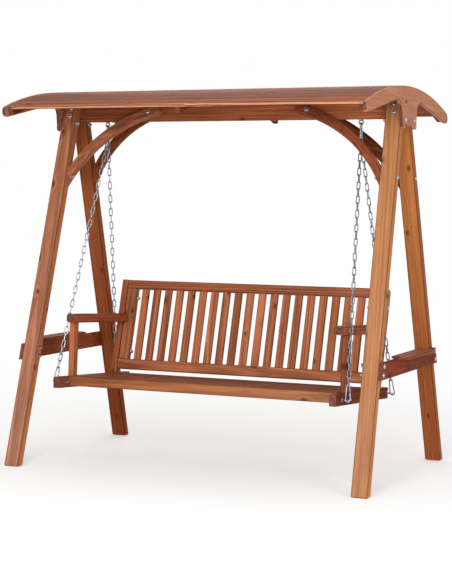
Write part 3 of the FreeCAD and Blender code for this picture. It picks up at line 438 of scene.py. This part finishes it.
def zinc_plated_steel(name, dull, bright, roughness):
    """Drawn wire and pressed steel with zinc plating.

    The eye sees a cool silver grey with soft highlights, cloudy where the plating varies. Where the dull
    and bright colours lie far apart, as on the wire, the cloud also paints bright and dark patches in
    place of reflections.
    """
    material, tree = new_material(name)
    place = add(tree, "ShaderNodeTexCoord").outputs["Object"]
    cloud = {"Vector": place, "Scale": 1 / PLATING_CLOUD, "Detail": 2.0}
    cloud = add(tree, "ShaderNodeTexNoise", cloud).outputs["Fac"]
    stops = zip(PLATING_SPAN, (dull, bright))
    colour = add(tree, "ShaderNodeValToRGB", {"Fac": cloud}, stops)
    rough = {0: cloud, 1: PLATING_ROUGHNESS, 2: roughness - PLATING_ROUGHNESS / 2}
    rough = add(tree, "ShaderNodeMath", rough, operation="MULTIPLY_ADD")
    marks = {"Vector": place, "Scale": 1 / DRAWING_MARK, "Detail": 1.0}
    marks = add(tree, "ShaderNodeTexNoise", marks)
    relief = {"Height": marks.outputs["Fac"], "Strength": MARK_STRENGTH, "Distance": MARK_DEPTH}
    relief = add(tree, "ShaderNodeBump", relief)
    shader = add(tree, "ShaderNodeBsdfPrincipled", {
        "Base Color": colour.outputs["Color"],
        "Metallic": 1.0,
        "Roughness": rough.outputs[0],
        "Normal": relief.outputs["Normal"]})
    add(tree, "ShaderNodeOutputMaterial", {"Surface": shader.outputs["BSDF"]})
    return material


# Painted light: the wire's dull and bright colours lie far apart, so its plating cloud also paints darker
# and brighter patches that stand in for reflections
WIRE_ZINC = zinc_plated_steel("zinc_plated_wire", "#5c6068", "#bcbfc6", 0.38)
BOLT_ZINC = zinc_plated_steel("zinc_plated_bolts", "#8c8f95", "#c0c2c6", 0.25)
# The heads of the plank screws were brushed over with the glaze, so they are dull and brown
GLAZED_ZINC = zinc_plated_steel("glazed_screw_heads", "#4d3c33", "#6d564a", 0.5)


# Each timber's glaze and how strongly its rings show, by how its name starts; the first match counts. A
# few colours are darker to paint shade, as marked

TIMBER_TONES = (
    ("leg_front_right", "#a7724f", 0.14),
    ("leg_front_left", "#9f6a53", 0.3),
    ("leg_rear_right", "#904d2a", 0.14),
    ("leg_rear_left", "#85441f", 0.2),
    ("knee_brace_front_right", "#88482d", 0.35),
    ("knee_brace_front_left", "#975b40", 0.4),
    # Painted shade: the rear knee braces are darker, for the shade they stand in under the roof
    ("knee_brace_rear_right", "#6a3a1c", 0.35),
    ("knee_brace_rear_left", "#7a3e1d", 0.35),
    ("top_beam", "#894b2a", 0.35),
    ("gable_board_left", "#a5725c", 0.09),
    ("gable_board", "#c28161", 0.09),
    ("roof_rib", "#753522", 0.4),
    ("roof", "#915035", 0.6),
    ("cross_rail_left", "#854526", 0.3),
    ("cross_rail", "#7b2f0b", 0.3),
    ("side_tray", "#935032", 0.3),
    ("seat_front", "#915533", 0.3),
    ("seat_rail_left", "#7b472f", 0.3),
    # Painted shade: the right seat rail is darker, for the shade it stands in under the seat
    ("seat_rail", "#6c2c0d", 0.3),
    ("seat_planks", "#a65936", 0.3),
    ("seat", "#9e502f", 0.3),
    ("back_slats", "#a76443", 0.35),
    ("back_top", "#955435", 0.3),
    ("back_post_left", "#9e5737", 0.35),
    ("back_post", "#b17550", 0.35),
    ("back_stile_right", "#a37050", 0.35),
    ("back", "#a26241", 0.35),
    ("arm_post_left", "#b26945", 0.3),
    # Painted shade: the right arm post is darker than the left, for the shade it stands in
    ("arm_post", "#814b32", 0.3),
    ("armrest_left", "#a05233", 0.3),
    ("armrest", "#ab5f3c", 0.3))

# Colour at the upper end of the legs and the right end of long rails and boards: partly the glaze, and
# partly painted light, such as the lit upper end of the rear right leg and the lit right end of the top
# beam
FAR_TONES_WITH_PAINTED_LIGHT = {
    "leg_front_right": "#ae754a",
    "leg_front_left": "#a76a49",
    "leg_rear_right": "#bd7943",
    "leg_rear_left": "#9c5631",
    "top_beam": "#b26843",
    "seat_planks": "#934e2e",
    "seat_front_board": "#a26948",
    "back_top_rail": "#985c3f"}

# Colour of the long side faces, where it differs from the broad faces: painted light, for the front edges
# of the roof planks that face the light and the sides of the legs that the light falls on differently
SIDE_FACE_PAINTED_LIGHT_TONES = {
    "roof_planks": "#b77a59",
    "leg_front_right": "#bd784a",
    "leg_front_left": "#b46e47",
    "leg_rear_right": "#9b5732"}

# Seeds that give each timber its own rings, knots and tone
SEED_START = 1.3
SEED_STEP = 3.7


def leg_axis(node):
    """Direction up a leg of the named corner."""
    side = 1 if "right" in node else -1
    fore = 1 if "front" in node else -1
    return Vector((-side * math.tan(LEG_SPLAY), fore * math.tan(LEG_LEAN), 1))


def timber_lay(node):
    """Direction of a timber node's grain, its broad face, and its boards."""
    if node.startswith("leg_"):
        return leg_axis(node), Y, None
    if node.startswith("side_tray"):
        return Y, Z, None
    if node.startswith(("gable_board", "roof_rib", "cross_rail")):
        return Y, X, None
    if node.startswith("seat_rail"):
        return SEAT_ALONG, X, None
    if node.startswith("armrest"):
        return SEAT_ALONG, SEAT_UP, None
    if node.startswith("arm_post"):
        return SEAT_UP, X, None
    if node == "seat_bearers":
        return SEAT_ALONG, SEAT_UP, BEARERS
    if node == "seat_planks":
        return X, SEAT_UP, SEAT_PLANKS
    if node.startswith(("seat_front", "seat_rear")):
        return X, SEAT_ALONG, None
    if node == "back_slats":
        return BACK_UP, BACK_FACE, SLATS
    if node.startswith(("back_post", "back_stile")):
        return BACK_UP, BACK_FACE, None
    return X, BACK_FACE, None


def timber_finish(node, seed):
    name = "stained_softwood_" + node
    tone, figure = next(look for start, *look in TIMBER_TONES if node.startswith(start))
    tones = (tone, FAR_TONES_WITH_PAINTED_LIGHT.get(node, tone))
    # Painted light on the long side faces
    edge = SIDE_FACE_PAINTED_LIGHT_TONES.get(node)
    if node == "roof_planks":
        grain, axes, boards = arched_grain, (X, Y, Z), ROOF_PLANKS
    elif node.startswith("knee_brace"):
        side = 1 if "right" in node else -1
        grain, axes, boards = bent_grain(side), None, None
    else:
        along, face, boards = timber_lay(node)
        grain, axes = straight_grain(node, along, face)
    return stained_softwood(name, tones, figure, grain, axes, seed, boards, edge)


WIRE_WORDS = ("chain", "hook", "eye")
BOLT_WORDS = ("bolt", "nut", "screw")


def node_finish(node, seed):
    if any(word in node for word in WIRE_WORDS):
        return WIRE_ZINC
    if any(word in node for word in BOLT_WORDS):
        return BOLT_ZINC
    return timber_finish(node, seed)


for index, node in enumerate(sorted(nodes)):
    materials = nodes[node].data.materials
    materials.clear()
    materials.append(node_finish(node, index * SEED_STEP + SEED_START))


# Round steel and curved edges show no facets

TIMBER_CREASE = math.radians(25)
WIRE_CREASE = math.radians(60)

for node in nodes:
    mesh = nodes[node].data
    mesh.shade_smooth()
    mesh.set_sharp_from_angle(angle=WIRE_CREASE if node.startswith("chain") else TIMBER_CREASE)


# Countersunk screws that hold the planks

SCREW_RADIUS = 4.0 * MM
SCREW_NECK = SCREW_RADIUS * 2 / 3
SCREW_DEPTH = 2.0 * MM
SCREW_STANDOUT = 0.15 * MM
SCREW_OFFSETS = (-22 * MM, 22 * MM)
RECESS_ARM = 2.6 * MM
RECESS_HALF = 0.55 * MM
RECESS_DEPTH = 1.2 * MM
RECESS_TAPER = 0.8
RIM_STEPS = 24


def ring_of_points(mesh, place, radius, z):
    turns = [2 * math.pi * i / RIM_STEPS for i in range(RIM_STEPS)]
    points = [Vector((radius * math.cos(turn), radius * math.sin(turn), z)) for turn in turns]
    return [mesh.verts.new(place @ point) for point in points]


def cross_outline():
    """The twelve corners of a cross recess, three for each arm, a quarter turn apart."""
    corners = [(RECESS_ARM, -RECESS_HALF), (RECESS_ARM, RECESS_HALF), (RECESS_HALF, RECESS_HALF)]
    outline = []
    for _ in range(4):
        outline += corners
        corners = [(-y, x) for x, y in corners]
    return outline


def screw_head(mesh, place):
    """A countersunk round head with a cross recess, its rim level with the timber."""
    rim = ring_of_points(mesh, place, SCREW_RADIUS, 0)
    cone = ring_of_points(mesh, place, SCREW_NECK, -SCREW_DEPTH)
    cross = cross_outline()
    edge = [mesh.verts.new(place @ Vector((x, y, 0))) for x, y in cross]
    low = [Vector((x * RECESS_TAPER, y * RECESS_TAPER, -RECESS_DEPTH)) for x, y in cross]
    floor = [mesh.verts.new(place @ corner) for corner in low]
    for i in range(RIM_STEPS):
        j = (i + 1) % RIM_STEPS
        mesh.faces.new((cone[i], cone[j], rim[j], rim[i]))
    mesh.faces.new(list(reversed(cone)))
    # Two steps of the rim meet each of the twelve corners of the recess
    for k in range(len(cross)):
        n = (k + 1) % len(cross)
        first, second, third = rim[2 * k], rim[2 * k + 1], rim[(2 * k + 2) % RIM_STEPS]
        mesh.faces.new((first, second, edge[n], edge[k]))
        mesh.faces.new((second, third, edge[n]))
        mesh.faces.new((edge[k], edge[n], floor[n], floor[k]))
    mesh.faces.new(floor)


def screw_piece(name, body, places):
    mesh = bmesh.new()
    for place in places:
        screw_head(mesh, place)
    bmesh.ops.recalc_face_normals(mesh, faces=mesh.faces)
    data = bpy.data.meshes.new(name)
    mesh.to_mesh(data)
    mesh.free()
    data.materials.append(GLAZED_ZINC)
    piece = bpy.data.objects.new(name, data)
    bpy.context.scene.collection.objects.link(piece)
    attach(piece, body)


def set_in(origin, out, turn):
    """Placement whose z points out of a surface that runs along X, turned about that z."""
    turned = Matrix((X, out.cross(X), out)).transposed().to_4x4() @ Matrix.Rotation(turn, 4, "Z")
    return Matrix.Translation(origin) @ turned


def screw_row(plank, top, along, out, support_x):
    """Two screws at each of the three supports of a plank, each left at its own turn."""
    places = []
    for x in (-support_x, 0.0, support_x):
        for offset in SCREW_OFFSETS:
            spot = top + along * offset + out * SCREW_STANDOUT + X * x
            places.append(set_in(spot, out, plank + offset / MM + x))
    return places


def roof_screws():
    count, pitch = ROOF_PLANKS
    places = []
    for plank in range(count):
        angle = (plank - (count - 1) / 2) * pitch / ROOF_RADIUS
        out = Vector((0, math.sin(angle), math.cos(angle)))
        along = Vector((0, math.cos(angle), -math.sin(angle)))
        top = Z * ROOF_CENTRE_Z + out * ROOF_RADIUS
        places += screw_row(plank, top, along, out, RIB_X)
    return places


def seat_screws():
    count, pitch = SEAT_PLANKS
    places = []
    for plank in range(count):
        back = SEAT_PLANK_FIRST + (plank + 0.5) * pitch
        top = SEAT_FRONT + SEAT_ALONG * back + SEAT_UP * SEAT_TOP
        places += screw_row(plank, top, SEAT_ALONG, SEAT_UP, BEARER_X)
    return places


screw_piece("roof_plank_screws", "frame", roof_screws())
screw_piece("seat_plank_screws", "swing", seat_screws())


# Studio: a pale floor that fades out, a white surround, soft lamps and the camera

PAPER = "#f7f7f6"
PAPER_RADIUS = 9.0
PAPER_STEPS = 96
PAPER_GAP = 0.5 * MM
# The paper fades out between these distances from the middle
PAPER_FADE = (1.6, 5.0)
PAPER_LIFT = 0.3
SURROUND_LIGHT = 0.5
# Softboxes: name, place, point that they light, width and power in watts
SOFTBOXES = (
    ("key_softbox", (1.5, -7.0, 2.4), (0, 0, 0.9), 3.5, 280),
    ("side_softbox", (5.5, -4.5, 1.4), (0.5, 0, 1.1), 2.5, 120),
    ("top_softbox", (0.0, 0.5, 6.0), (0, 0, 1.5), 3.5, 30),
    ("rear_softbox", (-2.5, 6.0, 3.6), (0, 0, 0.9), 3.5, 50))
CAMERA_PLACE = Vector((3269.7, -7286.2, 1378.8)) * MM
CAMERA_YAW = math.radians(24.264)
CAMERA_PITCH = math.radians(-3.658)
CAMERA_ROLL = math.radians(0.484)
SENSOR_HEIGHT_MM = 36.0
LENS_MM = 97.76


def background_ray(tree):
    """One for rays that show the background: from the camera, a reflection or clear material."""
    ray = add(tree, "ShaderNodeLightPath")
    seen = {0: ray.outputs["Is Camera Ray"], 1: ray.outputs["Is Glossy Ray"]}
    seen = add(tree, "ShaderNodeMath", seen, operation="MAXIMUM")
    seen = {0: seen.outputs[0], 1: ray.outputs["Is Transmission Ray"]}
    return add(tree, "ShaderNodeMath", seen, operation="MAXIMUM").outputs[0]


def matt_white_paper():
    """Paper sweep: it takes a soft shadow, and fades into the white surround away from the middle."""
    material, tree = new_material("matt_white_paper")
    place = add(tree, "ShaderNodeTexCoord").outputs["Object"]
    away = add(tree, "ShaderNodeVectorMath", {0: place}, operation="LENGTH")
    fade = {"Value": away.outputs["Value"], "From Min": PAPER_FADE[0], "From Max": PAPER_FADE[1]}
    fade = add(tree, "ShaderNodeMapRange", fade, interpolation_type="SMOOTHSTEP")
    paper = add(tree, "ShaderNodeBsdfDiffuse", {"Color": linear(PAPER)})
    # The camera and reflections see the paper a little brighter, as white as the surround
    seen = add(tree, "ShaderNodeMath", {0: background_ray(tree), 1: PAPER_LIFT}, operation="MULTIPLY")
    lift = add(tree, "ShaderNodeEmission", {"Strength": seen.outputs[0]})
    white = add(tree, "ShaderNodeAddShader", {0: paper.outputs[0], 1: lift.outputs[0]})
    clear = add(tree, "ShaderNodeBsdfTransparent")
    mixed = {0: fade.outputs[0], 1: white.outputs[0], 2: clear.outputs[0]}
    mixed = add(tree, "ShaderNodeMixShader", mixed)
    add(tree, "ShaderNodeOutputMaterial", {"Surface": mixed.outputs[0]})
    return material


def pale_floor():
    bpy.ops.mesh.primitive_circle_add(vertices=PAPER_STEPS, radius=PAPER_RADIUS, fill_type="NGON")
    floor = bpy.context.object
    floor.name = "floor"
    floor.location.z = -PAPER_GAP
    floor.data.materials.append(matt_white_paper())


def white_surround():
    world = bpy.data.worlds.new("white_surround")
    bpy.context.scene.world = world
    world.use_nodes = True
    tree = world.node_tree
    tree.nodes.clear()
    level = {"Value": background_ray(tree), "To Min": SURROUND_LIGHT, "To Max": 1.0}
    level = add(tree, "ShaderNodeMapRange", level)
    light = add(tree, "ShaderNodeBackground", {"Color": (1, 1, 1, 1), "Strength": level.outputs[0]})
    add(tree, "ShaderNodeOutputWorld", {"Surface": light.outputs[0]})


def soft_lamp(name, place, target, size, power):
    data = bpy.data.lights.new(name, "AREA")
    data.shape = "DISK"
    data.size = size
    data.energy = power
    lamp = bpy.data.objects.new(name, data)
    bpy.context.scene.collection.objects.link(lamp)
    lamp.location = place
    lamp.rotation_euler = (Vector(target) - Vector(place)).to_track_quat("-Z", "Y").to_euler()


def photo_camera():
    """Camera at the place, aim and focal length fitted to the photograph's straight edges."""
    level = Vector((-math.sin(CAMERA_YAW), math.cos(CAMERA_YAW), 0))
    ahead = level * math.cos(CAMERA_PITCH) + Z * math.sin(CAMERA_PITCH)
    right = ahead.cross(Z).normalized()
    up = right.cross(ahead)
    x_dir = right * math.cos(CAMERA_ROLL) + up * math.sin(CAMERA_ROLL)
    y_dir = up * math.cos(CAMERA_ROLL) - right * math.sin(CAMERA_ROLL)
    data = bpy.data.cameras.new("camera")
    data.sensor_fit = "VERTICAL"
    data.sensor_height = SENSOR_HEIGHT_MM
    data.lens = LENS_MM
    camera = bpy.data.objects.new("camera", data)
    bpy.context.scene.collection.objects.link(camera)
    turn = Matrix((x_dir, y_dir, -ahead)).transposed().to_4x4()
    camera.matrix_world = Matrix.Translation(CAMERA_PLACE) @ turn
    bpy.context.scene.camera = camera


bpy.context.scene.view_settings.view_transform = "Standard"
pale_floor()
white_surround()
for softbox in SOFTBOXES:
    soft_lamp(*softbox)
photo_camera()
